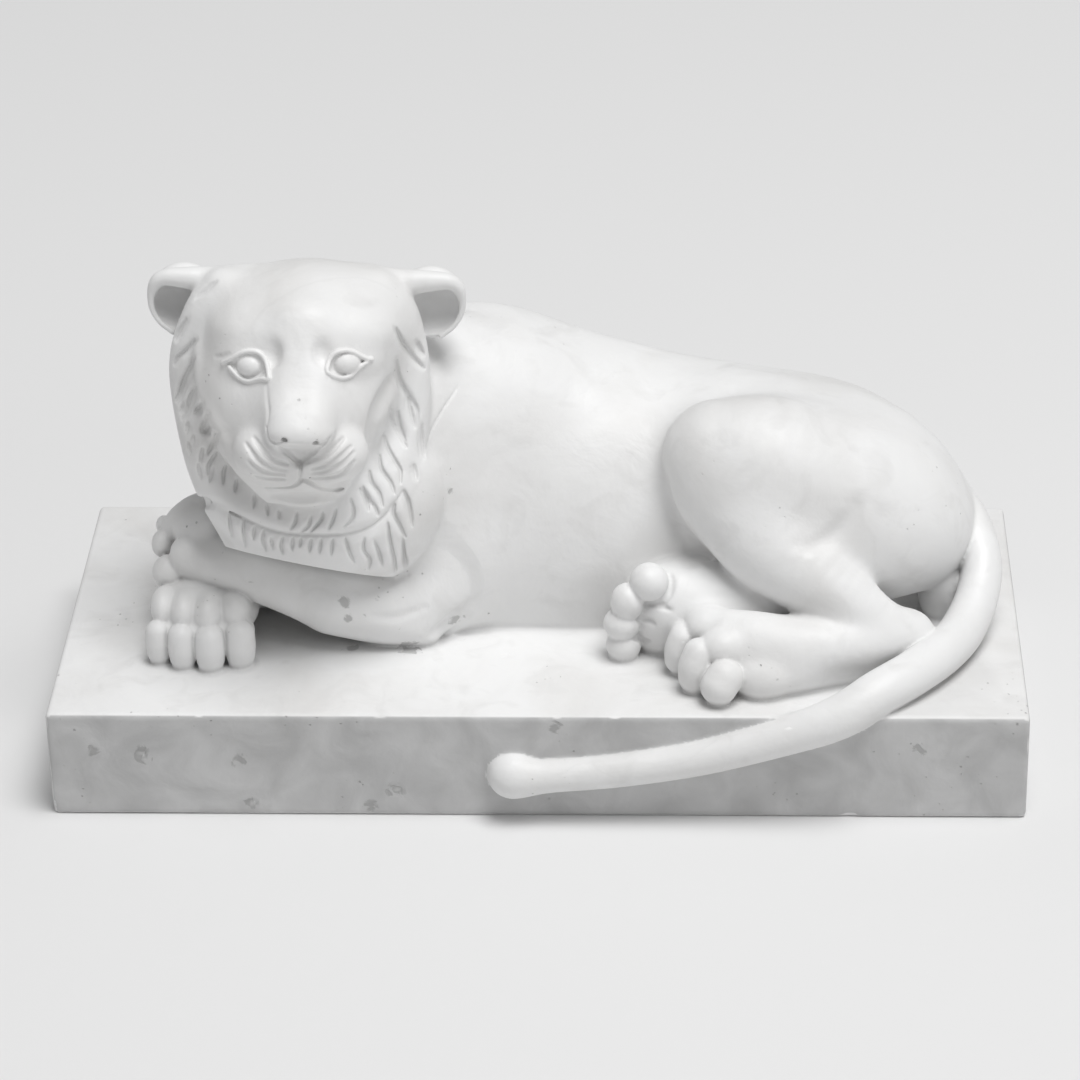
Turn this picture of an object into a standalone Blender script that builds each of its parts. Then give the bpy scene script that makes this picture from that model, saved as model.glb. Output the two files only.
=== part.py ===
"""A reclining lion carved in one block with its plinth.

The beast lies along the plinth with its head turned out over its crossed forepaws.  Its tail runs
round the rump, over the front edge and along the front face.  The block is modelled the way a
sculptor builds up clay: big masses first, then limbs and head, then toes, ears and locks, each
layer softened into the one below, with the grooves pressed in last.

Sizes are in millimetres and become metres when a shape is made.  The origin is the centre of the
plinth's underside, +X runs along its front edge, -Y is the front and +Z is up.
"""

import math

import bmesh
import bpy
import numpy as np
from mathutils import Euler, Matrix, Vector
from mathutils.bvhtree import BVHTree

MM = 0.001

# The plinth, and how far the beast is sunk into it.
PLINTH_LENGTH = 600.0
PLINTH_DEPTH = 265.0
PLINTH_HEIGHT = 72.0
PLINTH_EDGE = 3.5
SUNK = 5.0

# The skin's grain at each layer, how often it is softened, and the faces kept at the end.
MASS_GRAIN, MASS_PASSES = 4.0, 12
LIMB_GRAIN, LIMB_PASSES = 3.0, 5
FINE_GRAIN, FINE_PASSES = 1.8, 3
BEAST_TRIANGLES = 8400

# The head: where its middle is, and how it turns, lifts and tilts, in degrees.
HEAD_CENTRE = Vector((-140.5, -25.0, 259.0))
HEAD_TURN, HEAD_LIFT, HEAD_TILT = 2.5, 12.0, -2.0

MARBLE = (0.80, 0.79, 0.77, 1.0)


# ---------------------------------------------------------------- shapes

def egg(centre, radii, turn=(0.0, 0.0, 0.0), frame=None, rings=20):
    """An egg-shaped mass, as a closed mesh."""
    shape = bmesh.new()
    bmesh.ops.create_uvsphere(shape, u_segments=2 * rings, v_segments=rings, radius=1.0)
    turned = Euler([math.radians(angle) for angle in turn]).to_matrix()
    if frame is not None:
        turned = frame @ turned
    place = Matrix.LocRotScale(Vector(centre) * MM, turned.to_quaternion(), Vector(radii) * MM)
    bmesh.ops.transform(shape, matrix=place, verts=shape.verts)
    mesh = bpy.data.meshes.new("egg")
    shape.to_mesh(mesh)
    shape.free()
    return [mesh]


def tube(stations, sides=6, steps=6):
    """A round tube with filled caps through (x, y, z, radius) stations, as a mesh."""
    curve = bpy.data.curves.new("tube", "CURVE")
    curve.dimensions = "3D"
    curve.bevel_depth = MM
    curve.bevel_resolution = sides
    curve.resolution_u = steps
    curve.use_fill_caps = True
    spline = curve.splines.new("BEZIER")
    spline.bezier_points.add(len(stations) - 1)
    for point, (x, y, z, radius) in zip(spline.bezier_points, stations):
        point.co = Vector((x, y, z)) * MM
        point.radius = radius
        point.handle_left_type = "AUTO"
        point.handle_right_type = "AUTO"
    rod = bpy.data.objects.new("tube", curve)
    bpy.context.scene.collection.objects.link(rod)
    bpy.context.view_layer.update()
    mesh = bpy.data.meshes.new_from_object(rod.evaluated_get(bpy.context.evaluated_depsgraph_get()))
    bpy.data.objects.remove(rod)
    shape = bmesh.new()
    shape.from_mesh(mesh)
    bmesh.ops.remove_doubles(shape, verts=shape.verts, dist=0.00001)
    shape.to_mesh(mesh)
    shape.free()
    return mesh


def limb(stations):
    """A tube with round ends."""
    shapes = [tube(stations)]
    for x, y, z, radius in (stations[0], stations[-1]):
        shapes += egg((x, y, z), (radius, radius, radius))
    return shapes


def head_frame():
    """The head's own axes: columns point to its left as seen from in front, back, and up."""
    turn, lift, tilt = (math.radians(a) for a in (HEAD_TURN, HEAD_LIFT, HEAD_TILT))
    front = Vector((math.sin(turn) * math.cos(lift), -math.cos(turn) * math.cos(lift), math.sin(lift)))
    side = Vector((math.cos(turn), math.sin(turn), 0.0))
    up = front.cross(side)
    leaning = side * math.cos(tilt) + up * math.sin(tilt)
    upright = up * math.cos(tilt) - side * math.sin(tilt)
    return Matrix((leaning, -front, upright)).transposed()


HEAD = head_frame()


def on_head(side, front, up):
    """A place on the head: to the right of its middle, in front of it and above it."""
    return HEAD_CENTRE + HEAD @ Vector((side, -front, up))


def head_egg(side, front, up, wide, deep, tall):
    return egg(on_head(side, front, up), (wide, deep, tall), frame=HEAD)


def head_limb(stations):
    return limb([(*on_head(side, front, up), radius) for side, front, up, radius in stations])


# ---------------------------------------------------------------- working the skin

def joined(meshes):
    """One mesh from several, which may overlap."""
    shape = bmesh.new()
    for mesh in meshes:
        shape.from_mesh(mesh)
        bpy.data.meshes.remove(mesh)
    whole = bpy.data.meshes.new("shapes")
    shape.to_mesh(whole)
    shape.free()
    return whole


def applied(mesh, *modifiers):
    """The mesh after a stack of (type, settings) modifiers."""
    piece = bpy.data.objects.new("work", mesh)
    bpy.context.scene.collection.objects.link(piece)
    for kind, settings in modifiers:
        modifier = piece.modifiers.new(kind.lower(), kind)
        for name, value in settings.items():
            setattr(modifier, name, value)
    bpy.context.view_layer.update()
    result = bpy.data.meshes.new_from_object(piece.evaluated_get(bpy.context.evaluated_depsgraph_get()))
    bpy.data.objects.remove(piece)
    bpy.data.meshes.remove(mesh)
    return result


def settled(meshes, grain, passes):
    """Shapes run together into one skin, softened where they meet."""
    skin = ("REMESH", {"mode": "VOXEL", "voxel_size": grain * MM, "adaptivity": 0.0})
    soften = ("SMOOTH", {"factor": 0.5, "iterations": passes})
    return applied(joined(meshes), skin, soften)


def points_of(mesh):
    points = np.empty(len(mesh.vertices) * 3)
    mesh.vertices.foreach_get("co", points)
    return points.reshape(-1, 3) / MM


def normals_of(mesh):
    normals = np.empty(len(mesh.vertices) * 3)
    mesh.vertices.foreach_get("normal", normals)
    return normals.reshape(-1, 3)


def move_points(mesh, points):
    mesh.vertices.foreach_set("co", (points * MM).ravel())
    mesh.update()


def smooth_path(stations, steps=6):
    """Points along a smooth curve through the stations."""
    ends = [2 * stations[0] - stations[1]] + list(stations) + [2 * stations[-1] - stations[-2]]
    path = []
    for a, b, c, d in zip(ends, ends[1:], ends[2:], ends[3:]):
        for step in range(steps):
            t = step / steps
            path.append(0.5 * (2 * b + (c - a) * t + (2 * a - 5 * b + 4 * c - d) * t ** 2
                               + (3 * b - a - 3 * c + d) * t ** 3))
    path.append(stations[-1])
    return path


def skin_tree(mesh):
    """The skin as it is now, for laying paths on it."""
    shape = bmesh.new()
    shape.from_mesh(mesh)
    tree = BVHTree.FromBMesh(shape)
    shape.free()
    return tree


def stroke(mesh, tree, stations, width, depth):
    """A groove pressed along a path laid on the skin, or a ridge where depth is negative.

    It fades out at both ends.
    """
    path = smooth_path([np.array(station, float) for station in stations])
    path = np.array([tree.find_nearest(Vector(point) * MM)[0] for point in path]) / MM
    points = points_of(mesh)
    reach = width + 1.0
    near = np.all((points > path.min(0) - reach) & (points < path.max(0) + reach), axis=1)
    picked = np.nonzero(near)[0]
    if len(picked) == 0:
        return
    away = np.linalg.norm(points[picked][:, None, :] - path[None, :, :], axis=2)
    closest = away.argmin(1)
    along = closest / (len(path) - 1)
    fade = np.clip(np.minimum(along, 1 - along) * 6.0, 0.0, 1.0)
    press = np.clip(1 - (away.min(1) / width) ** 2, 0.0, 1.0) * fade * depth
    points[picked] -= normals_of(mesh)[picked] * press[:, None]
    move_points(mesh, points)


def hollowed(mesh, side, front, up, wide, deep, tall):
    """The skin pushed straight back out of an egg-shaped space on the head, as inside an ear."""
    points = points_of(mesh)
    inverse = np.array(HEAD.transposed())
    local = (points - np.array(HEAD_CENTRE)) @ inverse.T - np.array((side, -front, up))
    across = 1 - (local[:, 0] / wide) ** 2 - (local[:, 2] / tall) ** 2
    inside = (across > 0) & (np.abs(local[:, 1]) < deep * np.sqrt(np.clip(across, 0, 1)))
    local[inside, 1] = deep * np.sqrt(across[inside])
    moved = (local + np.array((side, -front, up))) @ inverse + np.array(HEAD_CENTRE)
    points[inside] = moved[inside]
    move_points(mesh, points)


# ---------------------------------------------------------------- the beast

# The body: (along, height of the ridge, near half-width, far half-width) sections, about a line
# that runs along it at one level, and how far its rounded ends reach beyond the first and the last.
BARREL = ((-75, 139, 106, 50), (-20, 139, 106, 50), (38, 125, 107, 50), (100, 107, 106, 50),
          (137, 98, 104, 50), (175, 91, 100, 48), (198, 84, 97, 47), (213, 76, 94, 44),
          (229, 62, 88, 41), (245, 43, 80, 37))
BARREL_MIDDLE, BARREL_LEVEL, BARREL_BELOW = 76.0, 100.0, 120.0
BARREL_ENDS = (60.0, 29.0)
BARREL_SIDES = 40


def barrel():
    """The body from chest to rump, as a closed mesh of rings."""
    sections = smooth_path([np.array(section, float) for section in BARREL])
    rings = [(*section, 1.0) for section in sections]
    for section, end, reach in ((sections[0], 0, -BARREL_ENDS[0]), (sections[-1], -1, BARREL_ENDS[1])):
        beyond = [(section[0] + reach * math.sin(turn), *section[1:], math.cos(turn))
                  for turn in (math.radians(angle) for angle in (20, 40, 60, 75))]
        rings = beyond[::-1] + rings if end == 0 else rings + beyond
    shape = bmesh.new()
    loops = []
    for along, ridge, near, far, share in rings:
        loop = []
        for step in range(BARREL_SIDES):
            turn = 2 * math.pi * step / BARREL_SIDES
            wide = near if math.cos(turn) < 0 else far
            tall = ridge if math.sin(turn) > 0 else BARREL_BELOW
            place = (along, BARREL_MIDDLE + share * wide * math.cos(turn),
                     BARREL_LEVEL + share * tall * math.sin(turn))
            loop.append(shape.verts.new(Vector(place) * MM))
        loops.append(loop)
    for loop, following in zip(loops, loops[1:]):
        for step in range(BARREL_SIDES):
            after = (step + 1) % BARREL_SIDES
            shape.faces.new((loop[step], loop[after], following[after], following[step]))
    for loop, end in ((loops[0], -1), (loops[-1], 1)):
        along = rings[0][0] if end < 0 else rings[-1][0]
        pole = shape.verts.new(Vector((along + end * 2.0, BARREL_MIDDLE, BARREL_LEVEL)) * MM)
        for step in range(BARREL_SIDES):
            after = (step + 1) % BARREL_SIDES
            shape.faces.new((loop[step], loop[after], pole) if end > 0 else (loop[after], loop[step], pole))
    bmesh.ops.recalc_face_normals(shape, faces=shape.faces)
    mesh = bpy.data.meshes.new("barrel")
    shape.to_mesh(mesh)
    shape.free()
    return [mesh]


def trunk():
    """Body, neck and chest."""
    neck = [(-40, 56, 184, 63), (-92, 30, 206, 58), (-132, -5, 232, 50)]
    chest = egg((-92, 6, 145), (58, 48, 75))
    brisket = egg((-135, -2, 142), (48, 36, 56))
    return barrel() + limb(neck) + chest + brisket


def shoulder_and_thigh():
    """The near upper arm, the rump, and the near thigh with its raised knee and shank."""
    upper_arm = [(-50, 8, 150, 30), (-52, -3, 126, 30), (-62, -17, 104, 28), (-78, -28, 93, 24)]
    rump = [(118, 43, 155, 54), (160, 38, 150, 58), (200, 34, 139, 57), (226, 30, 122, 45)]
    thigh = egg((186, 0, 142), (80, 54, 56), (0, 10, 0))
    knee = [(111, -12, 190, 33), (142, -12, 178, 46), (180, -6, 159, 48)]
    shank = [(115, -22, 171, 31), (142, -44, 145, 30), (180, -63, 121, 22), (210, -69, 102, 15.5),
             (228, -67, 91, 14)]
    return limb(upper_arm) + limb(rump) + thigh + limb(knee) + limb(shank)


def forelegs():
    """The near foreleg lies across the far one, which ends in a square paw flat on the plinth."""
    near = [(-74, -26, 94, 24), (-98, -37, 97, 23), (-130, -42, 104, 21.5), (-161, -42.5, 115, 18.5),
            (-190, -38.5, 124, 17), (-208, -32, 124, 15.5), (-220, -30, 123, 12)]
    elbow = [(-128, -42, 101, 20), (-106, -42, 93, 18), (-88, -44, 86, 13), (-71, -46, 80.5, 7.5)]
    near_paw = egg((-211, -10, 138), (21, 24, 18)) + limb([(-214, -8, 146, 9), (-227, -9, 140, 8),
                                                           (-234, -12, 131, 6)])
    far = [(-150, 20, 100, 26), (-190, -5, 98, 24), (-206, -28, 96, 22)]
    far_paw = egg((-209, -40, 95), (33, 28, 21))
    return limb(near) + limb(elbow) + near_paw + limb(far) + far_paw


def hind_feet():
    """The near hind foot lies along the plinth, and the far one shows its sole beside the belly."""
    near = [(228, -66, 90, 16), (200, -78, 92, 18), (160, -88, 94, 20), (134, -87, 97, 20),
            (119, -83, 100, 16.5)]
    near_sole = egg((138, -94, 84), (36, 19, 14))
    near_edge = [(136, -102, 82, 11), (165, -95, 81, 10), (205, -83, 80, 9)]
    far = [(165, -40, 97, 24), (120, -42, 98, 26), (86, -43, 100, 27)]
    far_sole = egg((92, -41, 97), (42, 27, 30)) + egg((80, -45, 89), (26, 20, 24))
    far_haunch = egg((252, -6, 88), (15, 14, 22))
    return limb(near) + near_sole + limb(near_edge) + limb(far) + far_sole + far_haunch


def toes():
    """Four toes to a foot, each a rounded tip under its knuckle."""
    shapes = limb([(-231, -60, 90, 11), (-211, -65, 90, 12.5), (-189, -61, 90, 12)])
    for across, front, radius in ((-236.5, -69, 7.9), (-221, -74.5, 8.7), (-203.5, -77, 9.2),
                                  (-185.3, -72, 9.4)):
        shapes += egg((0.87 * across - 28, front + 16, 103), (radius + 0.4, 15, 12))
        shapes += limb([(across, front + 1, 93, radius), (across, front, 79.5, radius)])
    near_forepaw = (((-220.5, -33, 129.5), (10, 10, 11)), ((-237.5, -5, 134), (5, 6, 6)),
                    ((-238, -16, 126.5), (6.5, 8, 9)), ((-232.5, -31, 115), (10.5, 11, 10.8)))
    near_knuckles = (((104, -76, 104.5), (12.5, 15, 12)), ((111.5, -97, 101), (13, 14, 13)),
                     ((138, -108, 84), (15, 9, 12)))
    far_hind = (((52.5, -61, 81), (11, 11, 11)), ((51.5, -61, 96), (11.5, 11, 10.5)),
                ((55, -60, 111), (10.5, 11, 12)), ((68.5, -58, 124), (12, 12, 12)))
    for centre, radii in near_forepaw + near_knuckles + far_hind:
        shapes += egg(centre, radii)
    shapes += limb([(90, -79, 96, 9.3), (87.5, -80, 82, 9.7)])
    shapes += limb([(99.5, -99, 97, 10.2), (97, -101, 82, 10.8)])
    shapes += limb([(116, -112, 89, 13), (113.5, -115, 85, 13)])
    return shapes


# The ruff: (side, front, up, radius) round the face, from the near temple under the chin to the
# far one.
RUFF = ((-50, 0, 44, 14), (-58, 1, 32, 15), (-63.5, 0, 13, 17), (-65, -2, -3, 18.5),
        (-63.5, -2, -20, 19), (-59, 2, -44, 19), (-54, 5, -66, 18), (-44, 10, -84, 18),
        (-26, 16, -92, 18), (-2, 20, -95, 18), (22, 16, -94, 18), (40, 8, -86, 18),
        (52, 0, -68, 18), (58, -4, -44, 17), (60, -6, -18, 16), (59, -5, 8, 15), (53, -2, 28, 15),
        (44, 0, 44, 13))


def head_masses():
    """Skull, cheeks and muzzle, with the ruff of mane behind them."""
    shapes = head_limb(RUFF)
    shapes += head_egg(-3, -34, -30, 66, 34, 66)
    shapes += head_egg(1, -8, -6, 60, 58, 65)
    shapes += head_egg(1, -2, 27, 58.5, 48, 33)
    shapes += head_egg(1, 8, 20, 57, 49, 39)
    shapes += head_egg(-4, 38, -44, 40, 40, 25)
    shapes += head_egg(-3, 38, -22, 42, 37, 36)
    shapes += head_egg(-3, 22, -54, 36, 38, 26)
    shapes += head_limb([(0, 26, 8, 33), (0, 44, -12, 29), (0, 54, -28, 27)])
    for hand in (-1, 1):
        shapes += head_egg(hand * 29, -4, 28 + 2 * hand, 31, 40, 27)
        shapes += head_egg(hand * 33 - 6, 20, -8, 25, 32, 34)
        shapes += head_egg(hand * 23 - 6, 30, -34, 25, 28, 26)
        shapes += head_egg(hand * 27, 30, 27, 24, 20, 12)
    return shapes


def sawn(mesh, point, way):
    """A closed mesh with all that lies beyond a flat cut taken off."""
    shape = bmesh.new()
    shape.from_mesh(mesh)
    bpy.data.meshes.remove(mesh)
    cut = bmesh.ops.bisect_plane(shape, geom=shape.verts[:] + shape.edges[:] + shape.faces[:],
                                 plane_co=point * MM, plane_no=way, clear_outer=True)
    rim = [edge for edge in cut["geom_cut"] if isinstance(edge, bmesh.types.BMEdge)]
    bmesh.ops.edgeloop_fill(shape, edges=rim)
    whole = bpy.data.meshes.new("sawn")
    shape.to_mesh(whole)
    shape.free()
    return whole


def bib():
    """The mane's lower tier: a mass cut off along a slanting hem above the forelegs."""
    mass = head_egg(8, -12, -86, 78, 48, 66)[0]
    mass = sawn(mass, on_head(0, 0, -126.5), HEAD @ Vector((-0.19, -0.2, -1.0)))
    return [sawn(mass, on_head(-60.5, 0, -97), HEAD @ Vector((-0.88, -0.15, -0.47)))]


# The jaw's edge below each cheek: (side, front, up, radius).
NEAR_JAW = ((-58, 14, 26, 3), (-61, 19, 15, 4), (-61, 23, 6, 4.4), (-59, 29, -6, 4.4), (-54.5, 38, -18, 4.2),
            (-46.5, 47, -30, 4), (-40, 53, -42, 3.8), (-37, 54, -50, 3.6), (-30.5, 51, -60, 3.4),
            (-22, 46, -71, 3))
FAR_JAW = ((24, 49, -66, 2.6), (28, 51, -58, 3), (33, 53, -49, 2.8), (36, 53, -41, 2))


def features():
    """Nose, whisker pads, eyes, chin and the edge of the jaw."""
    shapes = head_egg(0, 80, -21.5, 20.5, 14.5, 12.5)
    shapes += head_limb([(0.5, 75, -29, 9.5), (0.5, 72, -37, 6.5), (0.5, 70, -42, 4.5)])
    shapes += head_egg(-2, 38, -61, 26, 22, 15)
    shapes += head_limb(NEAR_JAW) + head_limb(FAR_JAW)
    for hand in (-1, 1):
        shapes += head_limb([(hand * 6, 42, 34, 12), (hand * 7, 51, 14, 12.5), (hand * 8, 64, -5, 12),
                             (hand * 8, 77, -16, 11.5)])
        shapes += head_egg(hand * 20, 63, -38.5, 20.5, 19, 18)
        shapes += head_egg(hand * 27.5 - 0.5, 45, 10.5, 12, 11, 9)
    return shapes


# The thick rolled edge of an ear: (side, front, up, radius) along its top and down its outer side.
EAR_EDGE = ((40, -10, 48.5, 8.5), (60, -8, 49, 8), (74, -7, 50, 6.5), (86, -7, 50, 5), (92, -8, 46, 4),
            (94.5, -10, 37, 3), (93, -11, 28.5, 2.6), (88.5, -12, 21, 2.6), (81, -13, 15, 2.6))


def ears():
    """Each ear is a round flap under a rolled edge, hollowed from the front."""
    shapes = []
    for hand in (-1, 1):
        shapes += head_egg(hand * 75, -18, 34.5, 22, 12, 22.5)
        shapes += head_limb([(hand * side, front, up, radius) for side, front, up, radius in EAR_EDGE])
    flaps = settled(shapes, FINE_GRAIN, 1)
    for hand in (-1, 1):
        hollowed(flaps, hand * 71, -2, 28, 21, 15, 16)
    return [flaps]


# The locks: grooves across the ruff and down the bib.
RUFF_LOCKS = 26
BIB_LOCKS = 13
LOCK_WIDTH, LOCK_DEPTH = 4.5, 2.6


def ruff_point(along, round_it):
    """A place on the ruff: along its line from 0 to 1, and from the face round to the back."""
    path = smooth_path([np.array(station, float) for station in RUFF])
    spot = min(max(along, 0.0), 1.0) * (len(path) - 1)
    before = min(int(spot), len(path) - 2)
    station = path[before] + (path[before + 1] - path[before]) * (spot - before)
    centre, radius = station[:3], station[3]
    outward = np.array((centre[0], 0.0, centre[2] + 20.0))
    outward /= np.linalg.norm(outward)
    angle = math.radians(round_it)
    return centre + radius * (math.sin(angle) * outward + math.cos(angle) * np.array((0, 1, 0)))


def carve_mane(skin):
    """Each lock on the ruff slants away from the face and hangs; those on the bib fall straight."""
    tree = skin_tree(skin)
    for lock in range(RUFF_LOCKS):
        along = (lock + 0.5) / RUFF_LOCKS
        fall = 0.10 * math.cos(math.pi * along)
        sweep = [on_head(*ruff_point(along + fall * step / 3, 5 + 28 * step)) for step in range(4)]
        stroke(skin, tree, sweep, LOCK_WIDTH, LOCK_DEPTH)
    for lock in range(BIB_LOCKS):
        across = -40 + 92 * lock / (BIB_LOCKS - 1)
        sway = 2.5 * (-1) ** lock
        drop = -0.21 * across
        fall = [on_head(across * 0.9, 34, -100 + drop), on_head(across + sway, 32, -108 + drop),
                on_head(across, 30, -118 + drop)]
        stroke(skin, tree, fall, LOCK_WIDTH, LOCK_DEPTH)


def carve_face(skin):
    """The line under the nose, the mouth, and the sunk edge round each eye."""
    tree = skin_tree(skin)
    stroke(skin, tree, [on_head(0, 90, -30), on_head(0, 88, -40), on_head(0, 84, -50)], 3.5, 2.5)
    for hand in (-1, 1):
        mouth = [(0, 84, -50), (9, 82, -54), (20, 72, -58), (31, 56, -58)]
        stroke(skin, tree, [on_head(hand * s, f, u) for s, f, u in mouth], 3.5, 3.0)
        round_eye = [(math.cos(turn) * 14 * hand, math.sin(turn) * 10)
                     for turn in (math.radians(angle) for angle in range(0, 361, 30))]
        stroke(skin, tree, [on_head(hand * 27.5 - 0.5 + side, 52, 10.5 + up) for side, up in round_eye],
               3.5, 1.5)


def carved_out(mesh, space):
    """The mesh with a closed space taken out of it."""
    taken = bpy.data.objects.new("space", space)
    bpy.context.scene.collection.objects.link(taken)
    mesh = applied(mesh, ("BOOLEAN", {"operation": "DIFFERENCE", "solver": "EXACT", "object": taken}))
    bpy.data.objects.remove(taken)
    return mesh


def beast():
    """The whole beast without its tail, as one skin."""
    masses = settled(trunk() + shoulder_and_thigh(), MASS_GRAIN, MASS_PASSES)
    masses = carved_out(masses, egg((229, -26, 79), (36, 27, 18))[0])
    limbs = settled([masses] + forelegs() + hind_feet() + head_masses(), LIMB_GRAIN, LIMB_PASSES)
    skin = settled([limbs] + bib() + toes() + features() + ears(), FINE_GRAIN, FINE_PASSES)
    carve_mane(skin)
    carve_face(skin)
    skin = trimmed(skin)
    share = BEAST_TRIANGLES / triangles_of(skin)
    return applied(skin, ("DECIMATE", {"ratio": share, "use_collapse_triangulate": True}))


def trimmed(mesh):
    """The skin cut off flat a little below the plinth's top, where it is never seen."""
    shape = bmesh.new()
    shape.from_mesh(mesh)
    bpy.data.meshes.remove(mesh)
    level = Vector((0, 0, PLINTH_HEIGHT - SUNK)) * MM
    cut = bmesh.ops.bisect_plane(shape, geom=shape.verts[:] + shape.edges[:] + shape.faces[:],
                                 plane_co=level, plane_no=(0, 0, -1), clear_outer=True)
    rim = [edge for edge in cut["geom_cut"] if isinstance(edge, bmesh.types.BMEdge)]
    bmesh.ops.holes_fill(shape, edges=rim)
    whole = bpy.data.meshes.new("skin")
    shape.to_mesh(whole)
    shape.free()
    return whole


def triangles_of(mesh):
    mesh.calc_loop_triangles()
    return len(mesh.loop_triangles)


# The tail's line: round the rump, across the plinth, over its front edge and along the front face.
TAIL = ((252, 45, 138, 10), (268, 24, 127, 12), (276, -3, 112, 12.6), (273.5, -24, 97, 13.3),
        (263, -51, 87, 14), (249, -77, 85.5, 14), (230, -101, 85, 14), (208, -120, 82, 14),
        (184, -132, 72, 13.5), (150, -135, 60, 12), (100, -135.5, 45, 11), (50, -136, 36, 10.5),
        (10, -136, 32, 10.5), (-5, -136, 31, 12))
TAIL_TIP = ((-14, -134, 31), (16, 14, 15))


def tail():
    return [tube(TAIL, sides=2, steps=3)] + egg(*TAIL_TIP, rings=10)


# ---------------------------------------------------------------- the block

def named_object(name, mesh, collection):
    piece = bpy.data.objects.new(name, mesh)
    collection.objects.link(piece)
    return piece


def unite(piece, other):
    """Joins another closed mesh to the piece."""
    union = piece.modifiers.new("join", "BOOLEAN")
    union.operation = "UNION"
    union.solver = "EXACT"
    union.object = other


def plinth_mesh():
    """The plinth's block, its arrises worn round."""
    shape = bmesh.new()
    bmesh.ops.create_cube(shape, size=1.0)
    size = Vector((PLINTH_LENGTH, PLINTH_DEPTH, PLINTH_HEIGHT)) * MM
    bmesh.ops.scale(shape, vec=size, verts=shape.verts)
    bmesh.ops.translate(shape, vec=(0, 0, size.z / 2), verts=shape.verts)
    bmesh.ops.bevel(shape, geom=shape.edges[:], offset=PLINTH_EDGE * MM, segments=2, profile=0.5,
                    affect="EDGES")
    mesh = bpy.data.meshes.new("plinth")
    shape.to_mesh(mesh)
    shape.free()
    return mesh


def marble():
    material = bpy.data.materials.new("white marble")
    material.use_nodes = True
    shader = material.node_tree.nodes["Principled BSDF"]
    shader.inputs["Base Color"].default_value = MARBLE
    shader.inputs["Roughness"].default_value = 0.5
    shader.inputs["Metallic"].default_value = 0.0
    return material


for old in list(bpy.data.objects):
    bpy.data.objects.remove(old)
lion_parts = bpy.data.collections.new("reclining_lion")
cutters = bpy.data.collections.new("joining_shapes")
bpy.context.scene.collection.children.link(lion_parts)
bpy.context.scene.collection.children.link(cutters)

sculpture = named_object("lion_on_plinth", plinth_mesh(), lion_parts)
sculpture.data.materials.append(marble())
tail_meshes = tail()
for label, mesh in (("beast", beast()), ("tail", tail_meshes[0]), ("tail_tip", tail_meshes[1])):
    joining = named_object(label, mesh, cutters)
    joining.hide_render = True
    joining.display_type = "WIRE"
    unite(sculpture, joining)
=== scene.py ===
import math

import bpy
import numpy as np
import openvdb
from mathutils import Matrix, Vector


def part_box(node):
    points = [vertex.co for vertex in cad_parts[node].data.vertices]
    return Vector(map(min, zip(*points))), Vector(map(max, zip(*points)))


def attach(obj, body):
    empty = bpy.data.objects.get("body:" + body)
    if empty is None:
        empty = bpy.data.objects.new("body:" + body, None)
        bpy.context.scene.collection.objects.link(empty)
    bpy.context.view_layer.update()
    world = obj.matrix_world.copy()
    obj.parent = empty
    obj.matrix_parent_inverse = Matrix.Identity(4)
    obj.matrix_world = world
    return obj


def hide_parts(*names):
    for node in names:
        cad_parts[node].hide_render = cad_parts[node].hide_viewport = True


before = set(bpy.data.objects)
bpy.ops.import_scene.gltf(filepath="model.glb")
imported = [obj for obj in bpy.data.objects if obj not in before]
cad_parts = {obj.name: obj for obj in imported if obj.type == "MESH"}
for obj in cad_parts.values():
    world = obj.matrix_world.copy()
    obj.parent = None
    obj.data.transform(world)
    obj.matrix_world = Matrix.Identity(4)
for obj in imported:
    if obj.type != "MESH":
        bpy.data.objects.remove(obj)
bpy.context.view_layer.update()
block_low, block_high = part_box("lion_on_plinth")


# ---------------------------------------------------------------- the block and its squared plinth
# One block of white marble, with the plinth left square at its foot.  The beast is carved out of the
# rest of it in layers: the large masses, then the limbs, and the fine cutting last.  All carving
# sizes are in millimetres, with the plinth's underside at nought and its middle at the origin.

MM = 0.001
PLINTH_LENGTH = round((block_high.x - block_low.x) / MM)
PLINTH_DEPTH = 265.0
PLINTH_HEIGHT = 72.0
PLINTH_EDGE = 3.0

ROUGH_GRAIN, HAND_GRAIN, FACE_GRAIN = 1.5, 0.9, 0.62
UNCUT = 1000.0
MARGIN = 6.0
SIGHT_STEP = 0.5


def ruled(stations, end):
    """Where the rulings cross one edge of the block: (from, spacing) stretches, up to the end."""
    stops = [start for start, grain in stations[1:]] + [end]
    rows = []
    for (start, grain), stop in zip(stations, stops):
        count = math.ceil((stop - start) / grain)
        rows.append(start + (stop - start) * np.arange(count) / count)
    return np.concatenate(rows + [[end]]).astype(np.float32)


def softening(gap, soft):
    """What is left in, or taken off, where two skins pass each other within a soft reach."""
    if not soft:
        return 0
    return np.maximum(soft - np.abs(gap), 0) ** 3 / (6 * soft * soft)


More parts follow.
